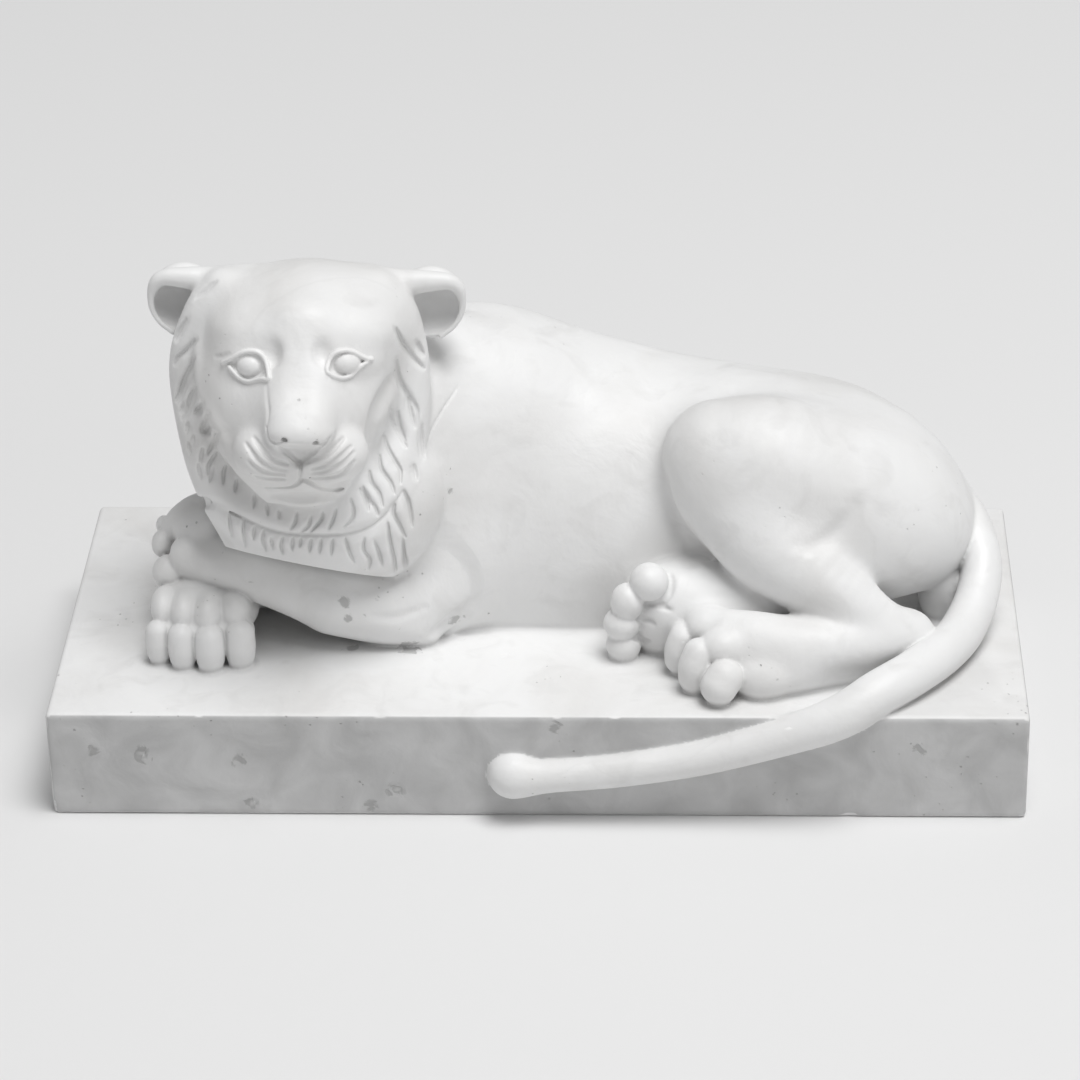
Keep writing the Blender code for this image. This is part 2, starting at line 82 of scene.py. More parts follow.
class Block:
    """The block ruled in three ways.  Each crossing holds its distance to the skin, below nought inside."""

    def __init__(self, rulings):
        self.rulings = rulings
        self.field = np.full([len(ruling) for ruling in rulings], UNCUT, np.float32)

    def room(self, low, high):
        """The rulings between two corners, as a stretch of each."""
        return [slice(max(int(np.searchsorted(ruling, a)) - 1, 0), int(np.searchsorted(ruling, b)) + 1)
                for ruling, a, b in zip(self.rulings, low, high)]

    def distances(self, form, margin):
        """The room a form takes up with a margin about it, and its distances there."""
        low = np.min([part[0] for part in form], 0) - margin
        high = np.max([part[1] for part in form], 0) + margin
        room = self.room(low, high)
        found = np.full([len(ruling[s]) for ruling, s in zip(self.rulings, room)], UNCUT, np.float32)
        for part_low, part_high, distance in form:
            inner = self.room(part_low - margin, part_high + margin)
            lines = [ruling[s] for ruling, s in zip(self.rulings, inner)]
            if min(len(line) for line in lines) == 0:
                continue
            own = tuple(slice(i.start - o.start, i.start - o.start + len(line))
                        for i, o, line in zip(inner, room, lines))
            found[own] = np.minimum(found[own], distance(*np.meshgrid(*lines, indexing="ij", sparse=True)))
        return tuple(room), found

    def put(self, form, blend=0.0):
        """Leave a form standing, softened into what it meets."""
        soft = 1.5 * blend
        room, found = self.distances(form, MARGIN + 1.3 * soft)
        held = self.field[room]
        self.field[room] = np.minimum(held, found) - softening(held - found, soft)

    def cut(self, form, blend=0.0):
        """Take a form away, with its edges softened."""
        soft = 1.5 * blend
        room, found = self.distances(form, MARGIN + soft)
        held = self.field[room]
        self.field[room] = np.maximum(held, -found) + softening(held + found, soft)

    def depth(self, points):
        """The distance to the skin at any points, read between the rulings."""
        low, part = [], []
        for axis, ruling in enumerate(self.rulings):
            at = np.interp(points[:, axis], ruling, np.arange(len(ruling)))
            cell = np.clip(at.astype(int), 0, len(ruling) - 2)
            low.append(cell)
            part.append(at - cell)
        total = np.zeros(len(points))
        for corner in np.ndindex(2, 2, 2):
            share = np.prod([p if c else 1 - p for c, p in zip(corner, part)], 0)
            total += share * self.field[tuple(cell + c for c, cell in zip(corner, low))]
        return total

    def met(self, start, way, reach):
        """Where a straight line from start first meets the skin."""
        way = way / np.linalg.norm(way)
        steps = np.arange(0, reach, SIGHT_STEP)
        depth = self.depth(start + steps[:, None] * way)
        inside = np.flatnonzero(depth < 0)
        if len(inside) == 0 or inside[0] == 0:
            return start + way * reach
        last = inside[0] - 1
        before = min(depth[last], 2.0)
        return start + way * (steps[last] + SIGHT_STEP * before / (before - depth[last + 1]))

    def skin(self):
        """The skin as points and four-sided faces."""
        band = 3 * ROUGH_GRAIN
        grid = openvdb.FloatGrid(band)
        grid.copyFromArray(np.clip(self.field, -band, band))
        points, quads = grid.convertToQuads(0.0)
        places = [np.interp(points[:, axis], np.arange(len(ruling)), ruling)
                  for axis, ruling in enumerate(self.rulings)]
        return np.stack(places, 1), quads


def slab(centre, half, edge):
    """A squared form with rounded arrises."""
    centre, half = np.array(centre, float), np.array(half, float)

    def distance(*place):
        over = [np.abs(c - m) - (h - edge) for c, m, h in zip(place, centre, half)]
        outside = np.sqrt(sum(np.maximum(o, 0) ** 2 for o in over))
        return outside + np.minimum(np.maximum(np.maximum(over[0], over[1]), over[2]), 0) - edge

    return [(centre - half, centre + half, distance)]


# The rulings stand closest about the face, where the finest chisels go.
lengthwise = ruled([(-306, ROUGH_GRAIN), (-248, HAND_GRAIN), (-208, FACE_GRAIN), (-78, HAND_GRAIN),
                    (-40, ROUGH_GRAIN)], 306)
inward = ruled([(-154, ROUGH_GRAIN), (-126, FACE_GRAIN), (-50, HAND_GRAIN), (38, ROUGH_GRAIN)], 140)
upward = ruled([(-5, ROUGH_GRAIN), (132, HAND_GRAIN), (176, FACE_GRAIN), (304, HAND_GRAIN)], 328)
stone = Block([lengthwise, inward, upward])


# ---------------------------------------------------------------- the trunk
# The barrel of the body runs level from the rump and rises at the withers into a heavy neck.
# Its masses are left full and smooth, and only the flank keeps a slight hollow before the thigh.

def turned(angles):
    """Columns are a form's own axes after turning about X, then Y, then Z, in degrees."""
    a, b, c = np.radians(angles)
    about_x = np.array([[1, 0, 0], [0, math.cos(a), -math.sin(a)], [0, math.sin(a), math.cos(a)]])
    about_y = np.array([[math.cos(b), 0, math.sin(b)], [0, 1, 0], [-math.sin(b), 0, math.cos(b)]])
    about_z = np.array([[math.cos(c), -math.sin(c), 0], [math.sin(c), math.cos(c), 0], [0, 0, 1]])
    return about_z @ about_y @ about_x


def egg(centre, radii, turn=(0, 0, 0), axes=np.eye(3)):
    """An egg-shaped mass."""
    centre, radii = np.array(centre, float), np.array(radii, float)
    own = axes @ turned(turn)
    half = np.sqrt(((own * radii) ** 2).sum(1))

    def distance(x, y, z):
        x, y, z = x - centre[0], y - centre[1], z - centre[2]
        scaled = [(own[0, i] * x + own[1, i] * y + own[2, i] * z) / radii[i] for i in range(3)]
        span = np.sqrt(sum(s * s for s in scaled))
        steep = np.sqrt(sum((s / r) ** 2 for s, r in zip(scaled, radii))) + 1e-6
        return span * (span - 1) / steep

    return [(centre - half, centre + half, distance)]


def rod(start, end, start_radius, end_radius):
    """A straight round length between two points."""
    start, end = np.array(start, float), np.array(end, float)
    along = end - start
    length2 = float(along @ along) + 1e-9

    def distance(x, y, z):
        x, y, z = x - start[0], y - start[1], z - start[2]
        t = np.clip((x * along[0] + y * along[1] + z * along[2]) / length2, 0, 1)
        gap = np.sqrt((x - t * along[0]) ** 2 + (y - t * along[1]) ** 2 + (z - t * along[2]) ** 2)
        return gap - (start_radius + (end_radius - start_radius) * t)

    radius = max(start_radius, end_radius)
    return (np.minimum(start, end) - radius, np.maximum(start, end) + radius, distance)


def eased(stations, steps):
    """A smooth run of stations through the given ones."""
    rows = np.array(stations, float)
    rows = np.vstack([2 * rows[0] - rows[1], rows, 2 * rows[-1] - rows[-2]])
    run = []
    for a, b, c, d in zip(rows, rows[1:], rows[2:], rows[3:]):
        for t in np.arange(steps) / steps:
            run.append(0.5 * (2 * b + (c - a) * t + (2 * a - 5 * b + 4 * c - d) * t ** 2
                              + (3 * b - a - 3 * c + d) * t ** 3))
    return np.array(run + [rows[-2]])


def limb(stations, steps=6):
    """A round limb through (x, y, z, radius) stations."""
    run = eased(stations, steps)
    return [rod(a[:3], b[:3], a[3], b[3]) for a, b in zip(run, run[1:])]


BARREL_MIDDLE, BARREL_LEVEL, BARREL_BELOW = 76.0, 100.0, 120.0
BARREL = [(-75, 139, 106, 50), (-20, 139, 106, 50), (38, 125, 107, 50), (100, 107, 106, 50),
          (137, 98, 104, 50), (175, 91, 100, 48), (198, 84, 97, 47), (213, 76, 94, 44),
          (229, 62, 88, 41), (245, 43, 80, 37)]
BARREL_ENDS = 60.0, 29.0


def barrel(stations, ends):
    """A long body with (along, height of the ridge, near half-width, far half-width) sections."""
    run = eased(stations, 6)
    start, end = run[0, 0], run[-1, 0]

    def distance(x, y, z):
        ridge, near, far = (np.interp(x, run[:, 0], run[:, i]) for i in (1, 2, 3))
        beyond = np.where(x < start, (start - x) / ends[0], np.maximum(x - end, 0) / ends[1])
        long = np.where(x < start, ends[0], ends[1])
        wide = np.where(y < BARREL_MIDDLE, near, far)
        tall = np.where(z > BARREL_LEVEL, ridge, BARREL_BELOW)
        over, up = (y - BARREL_MIDDLE) / wide, (z - BARREL_LEVEL) / tall
        span = np.sqrt(over * over + up * up + beyond * beyond)
        steep = np.sqrt((over / wide) ** 2 + (up / tall) ** 2 + (beyond / long) ** 2) + 1e-6
        return span * (span - 1) / steep

    low = (start - ends[0], BARREL_MIDDLE - run[:, 2].max(), BARREL_LEVEL - BARREL_BELOW)
    high = (end + ends[1], BARREL_MIDDLE + run[:, 3].max(), BARREL_LEVEL + run[:, 1].max())
    return [(np.array(low), np.array(high), distance)]


stone.put(barrel(BARREL, BARREL_ENDS))
stone.put(limb([(-40, 56, 184, 63), (-92, 30, 206, 58), (-132, -5, 232, 50)], 4), 25)
stone.put(egg((-92, 6, 145), (58, 48, 75)), 30)
stone.put(egg((-135, -2, 142), (48, 36, 56)), 20)


# ---------------------------------------------------------------- the near shoulder and crossed forepaws
# The near foreleg is folded on the plinth with its paw laid over the other one.  The lower paw shows
# four long toes below their knuckles, and the upper one hangs over it in a clump of rounded toes.

# The upper arm, from the shoulder down to the elbow.
stone.put(limb([(-50, 8, 150, 30), (-52, -3, 126, 30), (-62, -17, 104, 28), (-78, -28, 93, 24)]), 22)

# The far forearm and the lower paw, with a knuckle and a pad to each toe: (across, front, radius).
stone.put(limb([(-150, 20, 100, 26), (-190, -5, 98, 24), (-206, -28, 96, 22)]), 8)
stone.put(egg((-209, -40, 95), (33, 28, 21)), 6)
LOWER_TOES = [(-236.5, -69, 7.9), (-221, -74.5, 8.7), (-203.5, -77, 9.2), (-185.3, -72, 9.4)]
for across, front, radius in LOWER_TOES:
    stone.put(egg((0.87 * across - 28, front + 16, 103), (radius + 0.4, 15, 12)), 4)
stone.put(limb([(-231, -60, 90, 11), (-211, -65, 90, 12.5), (-189, -61, 90, 12)], 3), 2)
for across, front, radius in LOWER_TOES:
    toe = [(across, front + 1, 93, radius), (across, front, 86, radius + 0.3),
           (across, front, 79.5, radius - 0.3)]
    stone.put(limb(toe, 3), 1)

# The near forearm, with its paw laid over the other one.
stone.put(limb([(-74, -26, 94, 24), (-98, -37, 97, 23), (-130, -42, 104, 21.5)]), 8)
stone.put(limb([(-98, -37, 97, 23), (-130, -42, 104, 21.5), (-161, -42.5, 115, 18.5),
                (-190, -38.5, 124, 17), (-208, -32, 124, 15.5), (-220, -30, 123, 12)]), 2)
stone.put(limb([(-128, -42, 101, 20), (-106, -42, 93, 18), (-88, -44, 86, 13), (-71, -46, 80.5, 7.5)]), 8)

# The back of the upper paw and the clump of its toes.
stone.put(egg((-211, -10, 138), (21, 24, 18)), 5)
stone.put(limb([(-214, -8, 146, 9), (-227, -9, 140, 8), (-234, -12, 131, 6)]), 4)
stone.put(egg((-220.5, -33, 129.5), (10, 10, 11)), 3)
stone.put(egg((-237.5, -5, 134), (5, 6, 6)), 1)
stone.put(egg((-238, -16, 126.5), (6.5, 8, 9)), 1)
stone.put(egg((-232.5, -31, 115), (10.5, 11, 10.8)), 1)


# ---------------------------------------------------------------- the near haunch and shank
# The thigh is a tall rounded mass that leans on the body, with the shank folded down in front of it.
# The hock comes to the plinth beside the tail, and the far haunch shows in the hollow behind it.

# The rump and the thigh.
stone.put(limb([(118, 43, 155, 54), (160, 38, 150, 58), (200, 34, 139, 57), (226, 30, 122, 45)], 4), 25)
stone.put(egg((186, 0, 142), (80, 54, 56), (0, 10, 0)), 24)

# The hollow under the rump, with the far haunch in it.
stone.cut(egg((229, -26, 79), (36, 27, 18)), 2)
stone.put(egg((252, -6, 88), (15, 14, 22)), 2)

# The front of the thigh, and the shank below it.
stone.put(limb([(111, -12, 190, 33), (142, -12, 178, 46), (180, -6, 159, 48)]), 16)
stone.put(limb([(115, -22, 171, 31), (142, -44, 145, 30), (180, -63, 121, 22), (210, -69, 102, 15.5),
                (228, -67, 91, 14)]), 14)


# ---------------------------------------------------------------- the hind feet
# The near hind foot lies flat with its toes forward.  The far one comes out under the belly on its
# side and shows its sole, with four round toes stacked in front of it.

# The near foot: the length from the hock, the knuckles, and three toes.
stone.put(limb([(228, -66, 90, 16), (200, -78, 92, 18), (160, -88, 94, 20), (134, -87, 97, 20),
                (119, -83, 100, 16.5)]), 8)
stone.put(egg((138, -94, 84), (36, 19, 14)), 10)
stone.put(limb([(136, -102, 82, 11), (165, -95, 81, 10), (205, -83, 80, 9)]), 6)
stone.put(egg((106, -77, 104), (15, 14, 11.5)), 4)
stone.put(egg((115, -96, 100.5), (15.5, 13, 12.5), (0, 0, 15)), 4)
stone.put(egg((138, -108, 84), (15, 9, 12)), 5)
stone.put(limb([(90, -79, 96, 9.3), (88, -80, 89, 10), (87.5, -80, 82, 9.5)], 3), 1)
stone.put(limb([(99.5, -99, 97, 10), (97.5, -101, 89, 11), (97, -101, 82, 10.5)], 3), 1)
stone.put(limb([(115, -112, 88, 11.5), (111.5, -115, 83.5, 11.5)], 3), 1)

# The far foot: the length under the belly, the sole, and four toes as (centre, radii).
stone.put(limb([(165, -40, 97, 24), (120, -42, 98, 26), (86, -43, 100, 27)]), 8)
stone.put(egg((92, -41, 97), (42, 27, 30)), 6)
stone.put(egg((80, -45, 89), (26, 20, 24)), 6)
FAR_TOES = [((52.5, -61, 81), (11, 11, 11)), ((51.5, -61, 96), (11.5, 11, 10.5)),
            ((55, -60, 111), (10.5, 11, 12)), ((68.5, -58, 124), (12, 12, 12))]
for centre, radii in FAR_TOES:
    stone.put(egg(centre, radii), 1)


# ---------------------------------------------------------------- the head
# The head is turned out over the paws and lifted a little.  It is a broad skull with full cheeks and
# a deep square muzzle, set in a ruff of mane that falls to a bib between the neck and the forearm.

def sawn(form, point, way):
    """A form with all that lies beyond a flat cut taken off."""
    way = way / np.linalg.norm(way)
    (low, high, inner), = form

    def distance(x, y, z):
        beyond = (x - point[0]) * way[0] + (y - point[1]) * way[1] + (z - point[2]) * way[2]
        return np.maximum(inner(x, y, z), beyond)

    return [(low, high, distance)]


class Head:
    """The head's own axes: side is to its right as seen from in front, then front, then up."""

    def __init__(self, centre, turn, lift, tilt):
        turn, lift, tilt = np.radians((turn, lift, tilt))
        level = math.cos(lift)
        front = np.array([math.sin(turn) * level, -math.cos(turn) * level, math.sin(lift)])
        side = np.array([math.cos(turn), math.sin(turn), 0.0])
        up = np.cross(front, side)
        leaning = side * math.cos(tilt) + up * math.sin(tilt)
        upright = up * math.cos(tilt) - side * math.sin(tilt)
        self.centre = np.array(centre, float)
        self.axes = np.array([leaning, -front, upright]).T

    def at(self, side, front, up):
        """A place measured from the middle of the head."""
        return self.centre + self.way(side, front, up)

    def way(self, side, front, up):
        """A direction by the head's own axes."""
        return self.axes @ np.array([side, -front, up], float)

    def egg(self, side, front, up, wide, deep, tall, turn=(0, 0, 0)):
        return egg(self.at(side, front, up), (wide, deep, tall), turn, self.axes)

    def limb(self, stations, steps=5):
        return limb([(*self.at(side, front, up), radius) for side, front, up, radius in stations], steps)


HEAD_MIDDLE = (-140.5, -25, 259)
HEAD_TURN, HEAD_LIFT, HEAD_TILT = 2.5, 12, -2
head = Head(HEAD_MIDDLE, HEAD_TURN, HEAD_LIFT, HEAD_TILT)

# The bib, sawn off at its hem and at its near side, and the mass of the mane behind the face.
HEM = head.at(0, 0, -126.5), head.way(-0.19, 0.2, -1)
BIB_SIDE = head.at(-60.5, 0, -97), head.way(-0.88, 0.15, -0.47)
stone.put(sawn(sawn(head.egg(8, -12, -86, 78, 48, 66), *HEM), *BIB_SIDE), 4)
stone.put(head.egg(-3, -34, -30, 66, 34, 66), 12)

# The ears are discs, hollowed in two cuts and rolled at the edge: (side, front, up, radius).
EAR_EDGE = [(40, -10, 48.5, 8.5), (60, -8, 49, 8), (74, -7, 50, 6.5), (86, -7, 50, 5), (92, -8, 46, 4),
            (94.8, -10, 37, 2.4), (94, -11, 28.5, 1.8), (89.5, -12, 20.5, 1.6), (82, -13, 14, 1.5)]
for side in (-1, 1):
    stone.put(head.egg(side * 75, -18, 34.5, 22, 12, 22.5), 4)
    stone.cut(head.egg(side * 74, -10.5, 32.5, 21.5, 13, 17), 2)
    stone.cut(head.egg(side * 70, -3, 26, 21, 17, 15), 4)
    stone.put(head.limb([(side * across, *rest) for across, *rest in EAR_EDGE]), 1.2)

# The ruff, from the near temple under the chin to the far temple.
RUFF = [(-50, 0, 44, 14), (-58, 1, 32, 15), (-63.5, 0, 13, 17), (-65, -2, -3, 18.5), (-63.5, -2, -20, 19),
        (-59, 2, -44, 19), (-54, 5, -66, 18), (-44, 10, -84, 18), (-26, 16, -92, 18), (-2, 20, -95, 18),
        (22, 16, -94, 18), (40, 8, -86, 18), (52, 0, -68, 18), (58, -4, -44, 17), (60, -6, -18, 16),
        (59, -5, 8, 15), (53, -2, 28, 15), (44, 0, 44, 13)]
stone.put(head.limb(RUFF), 4)

# The skull, with the crown and the forehead, and then the brows and cheeks at both sides.
stone.put(head.egg(1, -8, -6, 60, 58, 65), 12)
stone.put(head.egg(1, -2, 26, 58.5, 48, 31.5), 12)
stone.put(head.egg(1, 8, 19, 57, 49, 38), 14)
for side in (-1, 1):
    stone.put(head.egg(side * 29, -4, 27.5 + 2 * side, 30, 40, 26), 12)
    stone.put(head.egg(side * 33 - 6, 20, -8, 25, 32, 34), 12)
    stone.put(head.egg(side * 23 - 6, 30, -34, 25, 28, 26), 12)
    stone.put(head.egg(side * 27, 30, 27, 24, 19, 12), 14)

# The muzzle.
stone.put(head.egg(-4, 38, -44, 40, 40, 25), 8)
stone.put(head.egg(-3, 38, -22, 42, 37, 36), 12)
stone.put(head.egg(-3, 22, -54, 36, 38, 26), 6)
stone.put(head.limb([(0, 26, 8, 33), (0, 44, -12, 29), (0, 54, -28, 27)]), 12)


# ---------------------------------------------------------------- the nose, the eyes and the mouth
# The nose is a broad level bridge that ends in two wings and a small three-cornered pad.  The eyes
# are blank balls between two raised lids, and each side of the lip has four whisker grooves.

# The fine lines are set out on a board before the face, and carried back to the stone along
# the line of sight from where the carver stands.
SIGHT = head.at(121, 2435, 649)
BOARD_SIDE, BOARD_FRONT, BOARD_UP, BOARD_LEAN = 5.5, 70, 20.7, 0.015


def seen(place, reach, lift=0.0):
    """The place on the skin that hides a given place, or is hidden by it, seen from the front."""
    way = place - SIGHT
    way /= np.linalg.norm(way)
    return stone.met(place - way * reach, way, 2 * reach) - way * lift


def drawn(side, up, lift=0.0):
    """The place on the skin behind a point marked on a board held up in front of the face."""
    return seen(head.at(side + BOARD_SIDE, BOARD_FRONT, up + BOARD_UP + BOARD_LEAN * side), 200, lift)


def stroke(points, radius, sink=0.0, steps=4, tip=0.45, settle=2):
    """A round line laid along the skin through drawn points, thinner at its ends."""
    run = eased(points, steps)
    share = np.linspace(0, 1, len(run))
    radii = radius * (tip + (1 - tip) * np.sin(math.pi * share) ** 0.6)
    places = np.array([drawn(*at, -sink) if len(at) == 2 else seen(at, 25, -sink) for at in run]) - SIGHT
    far = np.linalg.norm(places, axis=1)
    ways = places / far[:, None]
    for _ in range(settle):
        far[1:-1] = (far[:-2] + 2 * far[1:-1] + far[2:]) / 4
    places = SIGHT + ways * far[:, None]
    return [rod(a, b, ra, rb) for a, b, ra, rb in zip(places, places[1:], radii, radii[1:])]


# The bridge of the nose, the full lips at its sides, and the pad, undercut above the lips.
for side in (-1, 1):
    bridge = [(side * 6, 42, 34, 12), (side * 7, 51, 14, 12.5), (side * 8, 64, -5, 12),
              (side * 8, 77, -16, 11.5)]
    stone.put(head.limb(bridge), 12)
    stone.put(head.egg(side * 20, 63, -38.5, 20.5, 19, 18), 4)
stone.cut(head.limb([(0.5, 90, -26, 13), (0.5, 84.5, -36, 7.5), (-0.5, 77.5, -42, 1.5)]), 2)
NOSE_UNDERSIDE = head.at(0, 93, -25), head.way(0, 0.5, -0.86)
stone.put(sawn(head.egg(0, 80, -21.5, 20.5, 14.5, 12.5), *NOSE_UNDERSIDE), 3)

# The chin, the hollow of the mouth, and the edge of the jaw: (side, front, up, radius).
stone.put(head.egg(0, 37, -63, 28, 22, 16.5), 5)
stone.cut(head.egg(0, 70, -72.5, 26, 17, 7.5), 4)
NEAR_JAW = [(-58, 14, 26, 3), (-61, 19, 15, 4), (-61, 23, 6, 4.4), (-59, 29, -6, 4.4),
            (-54.5, 38, -18, 4.2), (-46.5, 47, -30, 4), (-40.5, 52, -42, 3.8), (-36.5, 53, -50, 3.6),
            (-30, 49, -60, 3.4), (-20, 41, -73, 3)]
FAR_JAW = [(24, 49, -66, 2.6), (28, 51, -58, 3), (33, 53, -49, 2.8), (36, 53, -41, 2)]
stone.put(head.limb(NEAR_JAW), 7)
stone.put(head.limb(FAR_JAW), 4)

# Each eye: its side, where its ball stands, and its lids from the outer corner to the inner one.
EYES = [
    (-1, (-35, -5),
     [(-51.5, -2.5), (-46.5, -0.1), (-42, 2.8), (-38, 4.3), (-33.4, 4.5), (-29.4, 3.2), (-26.6, -0.1),
      (-24.9, -4.9), (-24, -11.9)],
     [(-47.5, -5), (-44.7, -8.4), (-41.9, -11.3), (-38.5, -13.4), (-35.1, -14), (-31.7, -13.1),
      (-27.7, -12.5), (-25, -13.1)]),
    (1, (20.5, -3.6),
     [(36.9, -0.3), (34.1, -0.1), (30.7, 1.4), (26.7, 3.7), (22.7, 4.9), (18.8, 4.7), (14.8, 3.2),
      (11.9, -0.7), (10.3, -6.4)],
     [(34, -2.2), (31.8, -3.6), (29, -6), (25.6, -9.5), (22.2, -11.3), (18.8, -11.9), (14.2, -10.7),
      (10.8, -8.4)]),
]
UPPER_LID, LOWER_LID = 1.4, 1.3
ALMOND = (10, 5.2, 7)
EYEBALL = (9.7, 9.2, 7.9)
EYE_TURN = 24


def eye(side, ball, upper, lower):
    """One eye: a blank ball in an almond hollow, with a raised lid above and below it."""
    turn = (0, 0, side * EYE_TURN)
    stone.put(head.egg(side * 31 - 2, 40, 13, 19, 14, 13, turn), 6)
    across, up = ball
    inner_corner = drawn(across - side * 12, up + 8, 2)
    stone.cut(egg(inner_corner, (5.5, 6, 8), turn, head.axes), 6)
    lids = []
    for lid, radius in ((upper, UPPER_LID), (lower, LOWER_LID)):
        places = [drawn(*at, 0.8) for at in eased(lid, 4)]
        lids.append([rod(a, b, radius, radius) for a, b in zip(places, places[1:])])
    front = drawn(across, up)
    stone.cut(egg(front + head.way(0, 2, 0), ALMOND, turn, head.axes), 1.5)
    outer_corner = drawn(across + side * 8, up + 0.5, 1)
    stone.cut(egg(outer_corner, (5, 2.8, 2.6), turn, head.axes), 1.5)
    stone.put(egg(front - head.way(-0.6, 6.6, 0.3), EYEBALL, turn, head.axes), 1)
    for lid in lids:
        stone.put(lid, 0.8)


for detail in EYES:
    eye(*detail)

# A short line at the outer corner of the near eye, and one down beside the nose from its inner corner.
stone.cut(stroke([(-56, 1.2), (-52, 1.4), (-48, 3)], 1.1, -0.5), 2)
stone.cut(stroke([(-26, -16), (-25.8, -24), (-25, -33), (-25.8, -41)], 1.4, -1.25), 1.5)

# The wings of the nose, the nostrils, the sides of the pad and the parting of the lip.
NEAR_WING = [(-25.4, -42.2), (-24.8, -47.4), (-22.8, -51), (-19.4, -52.3), (-16.5, -51)]
stone.cut(stroke(NEAR_WING, 1.3, 0.8), 1.2)
stone.cut(stroke([(12.5, -48), (10.8, -51), (8.9, -52.4), (5.5, -52.5)], 1.2, 0.6), 1.2)
for nostril in ((-14.9, -50.2), (3.6, -52.2)):
    stone.cut(egg(drawn(*nostril, -0.8), (1.9, 4, 1.7)), 0.8)
stone.cut(stroke([(-18.9, -54), (-13.2, -58.4), (-6.3, -64.5)], 1.3, 0.4), 1.2)
stone.cut(stroke([(9.6, -52.2), (3.9, -56.9), (-0.1, -59.9), (-4.7, -64)], 1.2, 0.3), 1.2)
stone.cut(stroke([(-5.5, -63.5), (-5.2, -68.7), (-6, -74)], 0.9, 0.2, tip=0.8), 1)

# The mouth, and the shallow hollow between the lip and the chin.
MOUTH = [(-26, -80), (-18, -79.8), (-12, -79.5), (-8, -77.8), (-4.4, -74.6), (1, -77), (6, -80),
         (13, -81.5), (20, -80)]
stone.cut(stroke(MOUTH, 1.7, 1.2), 1)
stone.cut(stroke([(-24, -86.5), (-8, -87.5), (6, -87.5), (20, -86.5)], 5, -3.6), 4)

# Four whisker grooves at each side of the lip.
WHISKERS = [
    [(-33.1, -48.6), (-28.5, -55.1), (-24.5, -60.4), (-20, -63.4), (-13.2, -65.2)],
    [(-37.9, -52.2), (-34.2, -58.1), (-30.2, -63.4), (-24.5, -67), (-20.5, -68.3), (-14.3, -69.3)],
    [(-36.4, -63.4), (-32.5, -67.2), (-27.4, -70.2), (-22.8, -71.4), (-15.4, -71.7)],
    [(-33.1, -72.3), (-27.4, -74.3), (-15.4, -74.6)],
    [(20.3, -48.6), (15.2, -54.6), (9.6, -59.9), (3.9, -61.7), (-1.8, -64)],
    [(24.9, -53.9), (18, -61), (12.4, -65.2), (7.2, -67.2), (1.6, -68.5)],
    [(26.6, -57.5), (20.9, -64), (15.2, -67.8), (9.6, -70.2), (1.6, -71.4)],
    [(26.6, -63.4), (22, -69.3), (18, -72.3), (9.6, -74), (0.5, -74)],
]
for whisker in WHISKERS:
    stone.cut(stroke(whisker, 1.6, 0.2), 1.6)


# ---------------------------------------------------------------- the folds of the legs and feet
# Shallow folds are cut where the limbs bend, and short creases between the pads of the far foot.
# They are sunk with a round chisel and rubbed down, so that no edge is left beside them.

SOLE_FOLDS = [
    [(66, -62, 110), (73, -62, 110), (82, -62, 106)],
    [(61, -62, 99), (68, -62, 99), (72, -62, 96)],
    [(59, -62, 85), (64, -62, 85), (69, -62, 84)],
]
for fold in SOLE_FOLDS:
    stone.cut(stroke(fold, 1.5, 0.6), 2)

# Behind the toes of the far foot, on the thigh, down the flank, and twice at the elbow:
# (line, radius, sink, softening).
LIMB_FOLDS = [
    ([(82, -66, 134), (82.5, -66, 127), (81, -66, 119), (76, -66, 112)], 1.4, 0.2, 2.5),
    ([(161, -60, 151), (179, -60, 155), (191, -60, 169), (197, -60, 183)], 5, -3.6, 6),
    ([(72, -40, 193), (76, -40, 179), (82, -40, 158), (94, -40, 129)], 6, -4.6, 6),
    ([(-105, -50, 94), (-93, -50, 92), (-84, -50, 94), (-71, -50, 100)], 2.5, -1.4, 3),
    ([(-69, -40, 71), (-63, -40, 77), (-53, -40, 87), (-44, -40, 96)], 4, -2.4, 5),
]
for fold, radius, sink, rubbing in LIMB_FOLDS:
    stone.cut(stroke(fold, radius, sink), rubbing)


# ---------------------------------------------------------------- the mane
# The mane is two overlapping fringes: a ruff about the face, and below it the bib.  Its locks are
# grooves cut with a narrow chisel, slanting at the near cheek, waved at the neck, short at the hems.

NECK_LOCKS = [
    [(51.1, 18.8), (55.1, 10.5), (61.7, 0.9), (68.3, -6.1)],
    [(63.7, 10.5), (65.7, 6.4), (68.3, 1.6)],
    [(51.8, -0.5), (53.1, -10.2), (56.4, -18.4), (61.7, -26.7), (64.3, -32.2), (64.6, -41.8)],
    [(58.5, -23.5), (60.6, -33), (62.8, -42)],
    [(48.5, -30.9), (49.8, -39.1), (53.8, -47.4), (57.7, -54.3)],
    [(52.4, -32.2), (53.8, -41.8), (57.1, -50.1)],
    [(44.5, -47.4), (47.1, -55.7), (52.4, -65.3), (54.4, -69.4), (54.5, -77)],
    [(41.8, -59.8), (43.1, -68.1), (48.5, -76.3), (50.9, -83.2)],
    [(35.8, -69.4), (37.2, -76.3), (41.8, -83.2), (43.8, -91.5)],
    [(29.9, -80.4), (33.9, -86), (39.2, -91.5), (41.2, -97)],
    [(67, -40.5), (67.4, -51.5), (68.3, -61.2)],
    [(62.4, -65.3), (64.1, -74.9)],
    [(56.4, -81.2), (59.7, -90.1), (61.7, -103.9)],
    [(51.1, -90.1), (50.4, -95.6), (53.8, -102.5), (57.7, -110.7)],
]
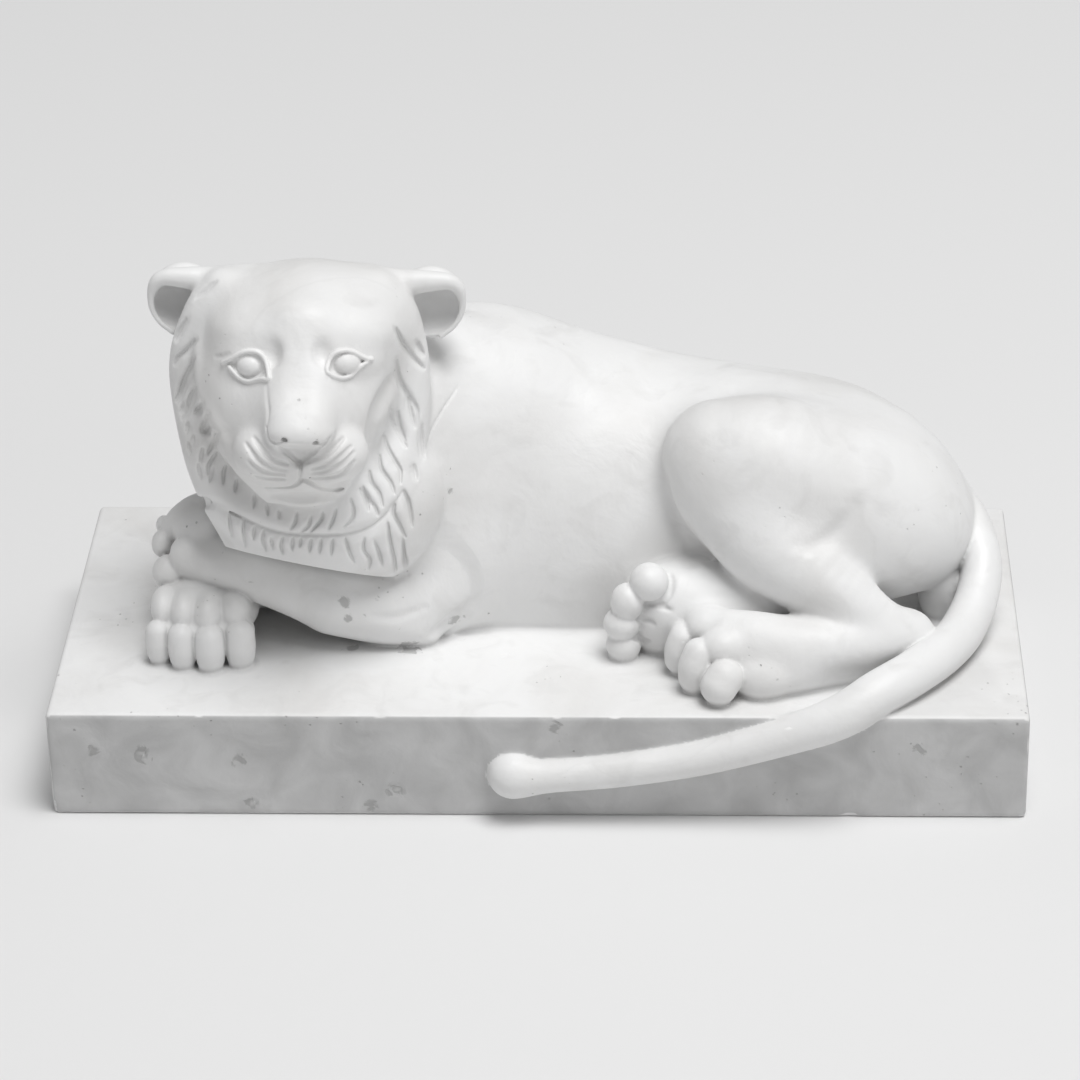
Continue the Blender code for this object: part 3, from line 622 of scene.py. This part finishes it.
CHEEK_LOCKS = [
    [(-72.4, 24.5), (-77.4, 16), (-79.7, 11)],
    [(-72.4, -12.5), (-76.5, -20), (-78.5, -27)],
    [(-74.6, -27), (-76.8, -34)],
    [(-68.9, -47), (-69.8, -54)],
    [(-72.2, -51), (-70.8, -59)],
    [(-63.5, -55), (-65, -64)],
    [(-66.5, -65), (-64.6, -74)],
    [(-57.5, -67), (-59.5, -76)],
    [(-67.5, 11.7), (-73.1, 5.2), (-77.8, 1.1), (-80.2, -3.6)],
    [(-68.6, 0.5), (-70.3, -5.4), (-73.7, -11.9), (-76.3, -19.6), (-79.4, -26.1)],
    [(-67.2, -17.2), (-70.3, -22.6), (-72, -28.5), (-75.7, -37.3)],
    [(-63.8, -27.3), (-66.3, -30.8), (-68.3, -33.2)],
    [(-60.6, -34.4), (-62.9, -40.3), (-64.5, -45)],
    [(-72, -38.5), (-72.9, -46.2)],
    [(-55, -46.2), (-57.8, -52.6), (-60.7, -58.6)],
    [(-59.5, -42), (-62.9, -45.6)],
    [(-55.3, -57.5), (-57.8, -61.5), (-60.1, -66.2), (-60.5, -71)],
    [(-50, -66), (-51.3, -70.5), (-51.5, -77)],
    [(-43.5, -75), (-44.5, -82)],
]
CHIN_LOCKS = [
    [(-32.5, -84), (-33.5, -92)],
    [(-25.5, -90), (-25, -97)],
    [(-18.5, -94), (-18, -99)],
    [(-7.5, -95.5), (-8.5, -101.5), (-11.5, -106)],
    [(1, -97.5), (-0.5, -103.5), (-5, -107.5)],
    [(8, -95), (7, -100), (0, -108)],
    [(16, -93), (14.5, -99), (11.5, -106)],
    [(24.5, -86.5), (26.5, -93.5), (25.5, -99.5), (20.5, -104.5)],
    [(32, -79), (34.5, -87), (35.5, -94)],
]
BIB_LOCKS = [
    [(-48, -96), (-47.5, -103), (-46.5, -110)],
    [(-39, -99.5), (-39.5, -106.5), (-38.5, -116)],
    [(-33, -104), (-33.5, -112)],
    [(-27.5, -106.5), (-28, -112.5), (-26, -119)],
    [(-23, -111), (-22, -118)],
    [(-16, -111), (-17, -116), (-16, -121)],
    [(-10, -111), (-10.5, -119)],
    [(-5, -111.5), (-6, -117)],
    [(1, -112), (0, -120)],
    [(7, -112), (6, -121)],
    [(14, -112), (13, -122)],
    [(21.5, -111.5), (24, -120), (27, -126.5)],
    [(33, -111.5), (32.5, -118.5), (36.5, -124.5), (35.5, -131)],
    [(39, -113), (42, -121), (44, -129)],
    [(47, -101.5), (48.5, -113), (51, -124.5), (52, -133)],
    [(56, -111.5), (57.5, -124.5), (60, -135)],
]
TIER = [(-67, -84), (-59, -87.5), (-41, -98), (-26.5, -105), (-12.5, -108.5), (8, -109.5), (24, -108.5),
        (37, -104), (47, -95), (56, -82)]
CHEEK_HOLLOW = [(52, -14), (47, -24), (42.5, -36), (40, -47), (38, -58)]

EAR_LINE = [(-55, 47), (-61.5, 41.5), (-67, 37)]
NECK_CRACK = [(-43, -20, 255), (-48, -25, 243), (-57, -30, 230), (-65, -34, 216), (-68, -36, 205)]

# The hollow beside the far cheek, a line by the root of the near ear, the step where the ruff ends
# over the bib, and a hair crack in the stone down the neck.
stone.cut(stroke(CHEEK_HOLLOW, 8, -6.2, settle=12), 7)
stone.cut(stroke(EAR_LINE, 1.6, 0.0), 2)
stone.cut(stroke([(across, up - 3) for across, up in TIER], 5, -3.6, settle=6), 4)
stone.cut(stroke(TIER, 1.0, 0.2, settle=6), 1)
stone.cut(stroke(NECK_CRACK, 0.7, 0.0), 0.6)

# Each lock is opened with a broad chisel and deepened with a fine one: (radius, sink, softening).
LONG_CHISELS = [(3, -1.8, 2), (1.1, 0.5, 1)]
SHORT_CHISELS = [(2, -1.1, 1.5), (0.9, 0.4, 0.8)]
for locks, chisels in ((NECK_LOCKS + CHEEK_LOCKS, LONG_CHISELS), (CHIN_LOCKS + BIB_LOCKS, SHORT_CHISELS)):
    for lock in locks:
        for radius, sink, rubbing in chisels:
            stone.cut(stroke(lock, radius, sink), rubbing)


# ---------------------------------------------------------------- the plinth's surface and the tail
# The plinth is squared last, so that it closes against the belly and the paws, and its underside is
# sawn flat.  The tail comes round the rump, over the front edge and along the front face to a knob.

PLINTH_HALF = np.array((PLINTH_LENGTH, PLINTH_DEPTH, PLINTH_HEIGHT)) / 2
stone.put(slab((0, 0, PLINTH_HALF[2]), PLINTH_HALF, PLINTH_EDGE), 4)
stone.cut(slab((0, 0, -20), (PLINTH_HALF[0] + 20, PLINTH_HALF[1] + 20, 20), 0))

# The tail, from the rump to the knob: (along, in, up, radius).
TAIL = [(252, 45, 138, 10), (268, 24, 127, 12), (276, -3, 112, 12.6), (273.5, -24, 97, 13.3),
        (263, -51, 87, 14), (249, -77, 85.5, 14), (230, -101, 85, 14), (208, -120, 82, 14),
        (184, -132, 72, 13.5), (150, -135, 60, 12), (100, -135.5, 45, 11), (50, -136, 36, 10.5),
        (10, -136, 32, 10.5), (-5, -136, 31, 12)]
stone.put(limb(TAIL, 5), 2)
stone.put(egg((-14, -134, 31), (16, 14, 15)), 3)

# Small losses along the plinth's arrises and on its front face: (place, size).
CHIPS = [
    ((48, -133, 73), (5, 2.4, 2)), ((13, -133, 72), (3, 1.8, 1.6)), ((-96, -133.5, 72.5), (6, 2, 1.8)),
    ((-206, -133.5, 72.5), (4, 2, 2)), ((-300.5, -133.5, 66), (2.2, 2.2, 7)),
    ((300.5, -133.5, 52), (2.2, 2.2, 9)), ((299, -133, 73), (4, 3, 2.4)), ((-300, -133, 5), (3, 3, 5)),
    ((-248, -133.5, 44), (9, 1.4, 4)), ((-177, -133.5, 9), (5, 1.8, 3)), ((-90, -133.5, 19), (8, 1.4, 5)),
    ((-184, -133.5, 39), (3, 1.3, 8)), ((-107, -133.5, 57), (7, 1.3, 4)), ((236, -133.5, 55), (2, 1.4, 6)),
    ((190, -133.5, 2), (7, 2, 2)), ((-20, -60, 73), (5, 4, 1.6)), ((150, -40, 73), (4, 3, 1.6)),
]
for place, size in CHIPS:
    stone.cut(egg(place, size, (0, 0, 8)), 0.8)


# ---------------------------------------------------------------- the finished skin
# The carved surface is rubbed smooth and never polished hard.  Every point of it keeps how deep in
# the cutting it lies, how much wear it takes, and whether the plinth's tooled faces, darkened with
# painted shade, reach it.

MOST_TRIANGLES = 190000
TOOLED_AND_SHADED_WITHIN = 0.7
HOLLOW_REACHES = 1.2, 3, 7
WORN_REACHES = 1, 2.5

points, quads = stone.skin()
skin = bpy.data.meshes.new("lion")
skin.from_pydata((points * MM).tolist(), [], quads.tolist())
lion = bpy.data.objects.new("reclining_lion", skin)
bpy.context.scene.collection.objects.link(lion)
thin = lion.modifiers.new("thin", "DECIMATE")
thin.ratio = min(1.0, MOST_TRIANGLES / (2 * len(quads)))
bpy.context.view_layer.update()
thinned = lion.evaluated_get(bpy.context.evaluated_depsgraph_get())
finished = bpy.data.meshes.new_from_object(thinned)
lion.modifiers.clear()
lion.data = finished
finished.shade_smooth()


def listed(collection, name):
    """A (x, y, z) value of every point of the skin."""
    values = np.empty(3 * len(collection), np.float32)
    collection.foreach_get(name, values)
    return values.reshape(-1, 3).astype(float)


def marked(name, values):
    """Keep one value for every point of the skin."""
    finished.attributes.new(name, "FLOAT", "POINT").data.foreach_set("value", values.astype(np.float32))


spots = listed(finished.vertices, "co") / MM
ways = listed(finished.vertex_normals, "vector")

# Dust and painted shade go where the stone stands close in front of a point, and wear comes where it is
# thin behind.
hollow = sum(np.clip(1 - stone.depth(spots + reach * ways) / reach, 0, 1) for reach in HOLLOW_REACHES) / 3
worn = sum(np.clip(1 + stone.depth(spots - reach * ways) / reach, 0, 1) for reach in WORN_REACHES) / 2
# The plinth's side faces, which are tooled and are also darkened with painted shade below the lit top.
ends = np.abs(np.abs(spots[:, 0]) - PLINTH_HALF[0])
faces = np.abs(np.abs(spots[:, 1]) - PLINTH_HALF[1])
tooled_and_shaded = (np.minimum(ends, faces) < TOOLED_AND_SHADED_WITHIN) & (spots[:, 2] < PLINTH_HEIGHT - 1)
marked("hollow", hollow)
marked("worn", worn * (1 - hollow))
marked("tooled_and_shaded", tooled_and_shaded)


# ---------------------------------------------------------------- the marble
# White marble with soft grey clouds, a few thin veins and small pits.  Dust and painted shade lie in the
# cutting and dirt in the bruises, the plinth's faces are left tooled and darkened with painted shade,
# and worn edges are cleaner.

marble = bpy.data.materials.new("white_marble")
marble.use_nodes = True
tree = marble.node_tree
shader = tree.nodes["Principled BSDF"]
finished.materials.append(marble)


def node(kind, sockets, **settings):
    """One node, with each socket either joined to another node or given a value."""
    made = tree.nodes.new("ShaderNode" + kind)
    for name, value in settings.items():
        setattr(made, name, value)
    for name, value in sockets.items():
        if isinstance(value, bpy.types.NodeSocket):
            tree.links.new(value, made.inputs[name])
        else:
            made.inputs[name].default_value = value
    return made


where = tree.nodes.new("ShaderNodeTexCoord").outputs["Object"]


def cloud(scale, detail, twist=0.0):
    """A soft cloudy pattern through the stone, with so many clouds to the metre."""
    sockets = {"Vector": where, "Scale": scale, "Detail": detail, "Distortion": twist}
    return node("TexNoise", sockets).outputs["Fac"]


def marking(name):
    """What every point of the skin keeps under a name."""
    return node("Attribute", {}, attribute_name=name).outputs["Fac"]


def shared(value, low, high, least=0.0, most=1.0):
    """Spread a value between two levels over a new span."""
    sockets = {"Value": value, "From Min": low, "From Max": high, "To Min": least, "To Max": most}
    return node("MapRange", sockets).outputs["Result"]


def worked(how, first, second):
    """Two values added, multiplied or otherwise worked together."""
    return node("Math", {0: first, 1: second}, operation=how).outputs[0]


def tinted(share, under, over):
    """One grey laid over another by a share, and kept a little warm."""
    grey = over if isinstance(over, bpy.types.NodeSocket) else (over, over * 0.993, over * 0.982, 1)
    return node("Mix", {0: share, 6: under, 7: grey}, data_type="RGBA").outputs[2]


# Dark patches left where the stone has bruised or held dirt: (place, size).
STAINS = [
    ((-82, -66, 93), 6), ((-82, -55, 75), 6), ((-117, -66, 102), 3), ((-121, -62, 111), 4),
    ((-99, -60, 112), 3.5), ((-119, -50, 73), 5), ((-185, -62, 128), 4), ((-194, -60, 128), 4),
    ((-180, -62, 121), 4), ((-106, -66, 103), 3), ((-52, -42, 86), 5), ((-47, -45, 78), 5),
    ((72, -42, 189), 4), ((-216, -50, 252), 2.5), ((-95, -88, 265), 2.5), ((-54, -30, 148), 3),
    ((-55, -30, 173), 3), ((-271, -133, 47), 5), ((-243, -133, 44), 6), ((-182, -133, 40), 5),
    ((-177, -133, 9), 4), ((-87, -133, 18), 5), ((-102, -133, 6), 4), ((233, -133, 50), 4),
    ((12, -133, 64), 4),
]
STAIN_SPREAD = 2.6
stain = 0.0
for spot, size in STAINS:
    away = node("VectorMath", {0: where, 1: Vector(spot) * MM}, operation="DISTANCE").outputs["Value"]
    stain = worked("MAXIMUM", shared(away, 0.0, STAIN_SPREAD * size * MM, 1.0, 0.0), stain)

# What lies on the skin: dust with painted shade in the hollows, ragged bruises, pits and veins, each as a
# share from 0 to 1.
on_faces = marking("tooled_and_shaded")
dust_and_shade = shared(marking("hollow"), 0.2, 0.8)
ragged = worked("ADD", stain, worked("MULTIPLY", worked("SUBTRACT", cloud(110, 6, 1.5), 0.5), 1.5))
bruise = shared(ragged, 0.62, 0.78)
speck = node("TexVoronoi", {"Vector": where, "Scale": 170.0}).outputs["Distance"]
speck = worked("ADD", speck, worked("MULTIPLY", cloud(500, 2), 0.5))
patches = worked("ADD", cloud(22, 4), worked("MULTIPLY", on_faces, 0.06))
pits = worked("MULTIPLY", shared(speck, 0.3, 0.36, 1.0, 0.0), shared(patches, 0.6, 0.67))
vein = node("Math", {0: worked("SUBTRACT", cloud(5.5, 7, 0.9), 0.5)}, operation="ABSOLUTE").outputs[0]
veins = worked("MULTIPLY", shared(vein, 0.0, 0.012, 1.0, 0.0), shared(cloud(9, 2), 0.5, 0.62))

# The colour, laid on coat by coat from the white of the stone.
WHITE = (0.83, 0.83, 0.828, 1)
LARGE_CLOUDS, SMALL_CLOUDS, VEINS, DIRT_AND_SHADE, BRUISES, WORN_EDGES = 0.75, 0.68, 0.6, 0.34, 0.3, 0.9
colour = tinted(shared(cloud(11, 6, 0.6), 0.45, 0.7), WHITE, LARGE_CLOUDS)
colour = tinted(shared(cloud(38, 8, 0.8), 0.54, 0.75, 0.0, 0.5), colour, SMALL_CLOUDS)
colour = tinted(worked("MULTIPLY", veins, 0.15), colour, VEINS)
# Painted shade: the plinth's side faces are darkened well below the top, as well as tooled.
tooled_and_shaded_grey = shared(cloud(30, 7, 0.5), 0.35, 0.65, 0.56, 0.42)
colour = tinted(worked("MULTIPLY", on_faces, 0.85), colour, tooled_and_shaded_grey)
# Painted shade and dust: the hollows of the cutting are darkened by how closely the stone stands in front
# of them.
colour = tinted(worked("MULTIPLY", dust_and_shade, 0.35), colour, DIRT_AND_SHADE)
colour = tinted(worked("MULTIPLY", bruise, 0.55), colour, BRUISES)
colour = tinted(worked("MULTIPLY", pits, 0.6), colour, BRUISES)
colour = tinted(shared(marking("worn"), 0.2, 0.7, 0.0, 0.4), colour, WORN_EDGES)
tree.links.new(colour, shader.inputs["Base Color"])

# The polish is dulled by tooling, dust and bruises.
rough = worked("ADD", shared(cloud(26, 5), 0.35, 0.7, 0.42, 0.58), worked("MULTIPLY", on_faces, 0.16))
rough = worked("ADD", rough, worked("MULTIPLY", dust_and_shade, 0.2))
rough = worked("ADD", rough, worked("MULTIPLY", bruise, 0.15))
tree.links.new(rough, shader.inputs["Roughness"])

# The relief too fine to carve: grain, the rubbing of the surface, tool marks and losses.
grain = worked("MULTIPLY", cloud(320, 4), 0.12)
rubbed = worked("MULTIPLY", cloud(30, 4, 0.4), 3.2)
tool_marks = worked("MULTIPLY", worked("MULTIPLY", cloud(140, 5, 0.4), on_faces), 0.5)
losses = worked("ADD", pits, worked("MULTIPLY", bruise, 0.5))
height = worked("ADD", worked("ADD", grain, rubbed), tool_marks)
height = worked("SUBTRACT", height, losses)
bump = node("Bump", {"Strength": 0.8, "Distance": 0.6 * MM, "Height": height})
tree.links.new(bump.outputs["Normal"], shader.inputs["Normal"])

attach(lion, "root")
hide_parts("lion_on_plinth")


# ---------------------------------------------------------------- floor, light and camera
# A plain pale studio floor stands under the block, with a large soft light almost overhead and a
# weaker one from the right.  The camera looks down on the front face from a little way off.

FLOOR = 12.0
SKY_STRENGTH = 0.29
LIGHT_AIM = (0, 0, 0.1)
CAMERA_PLACE = (0.101, -2.2648, 1.3951)
RIGHT, UP, FORWARD = (0.9992, 0.0353, -0.0173), (-0.0022, 0.4903, 0.8716), (-0.0392, 0.8708, -0.49)

floor_mesh = bpy.data.meshes.new("floor")
corners = [(-FLOOR, -FLOOR, 0), (FLOOR, -FLOOR, 0), (FLOOR, FLOOR, 0), (-FLOOR, FLOOR, 0)]
floor_mesh.from_pydata(corners, [], [(0, 1, 2, 3)])
floor = bpy.data.objects.new("floor", floor_mesh)
bpy.context.scene.collection.objects.link(floor)
paper = bpy.data.materials.new("pale_paper")
paper.use_nodes = True
paper.node_tree.nodes["Principled BSDF"].inputs["Base Color"].default_value = (0.78, 0.78, 0.78, 1)
paper.node_tree.nodes["Principled BSDF"].inputs["Roughness"].default_value = 0.9
floor_mesh.materials.append(paper)

world = bpy.data.worlds.new("studio")
bpy.context.scene.world = world
world.use_nodes = True
world.node_tree.nodes["Background"].inputs["Color"].default_value = (1, 1, 1, 1)
world.node_tree.nodes["Background"].inputs["Strength"].default_value = SKY_STRENGTH


def soft_light(name, place, size, power):
    """A square light with a soft edge to its shadow, aimed at the block."""
    light = bpy.data.lights.new(name, "AREA")
    light.size = size
    light.energy = power
    lamp = bpy.data.objects.new(name, light)
    lamp.location = place
    lamp.rotation_mode = "QUATERNION"
    lamp.rotation_quaternion = (Vector(LIGHT_AIM) - Vector(place)).to_track_quat("-Z", "Y")
    bpy.context.scene.collection.objects.link(lamp)


soft_light("overhead", (1.4, -1.2, 7.0), size=3.6, power=400)
soft_light("right", (2.6, -2.2, 1.6), size=1.4, power=9)

lens = bpy.data.cameras.new("camera")
lens.sensor_width = 36
lens.lens = 137.6
lens.clip_start = 0.05
lens.clip_end = 60
camera = bpy.data.objects.new("camera", lens)
bpy.context.scene.collection.objects.link(camera)
turn = Matrix((RIGHT, UP, [-part for part in FORWARD])).transposed()
camera.matrix_world = Matrix.Translation(CAMERA_PLACE) @ turn.to_quaternion().to_matrix().to_4x4()
bpy.context.scene.camera = camera
bpy.context.scene.view_settings.view_transform = "Standard"
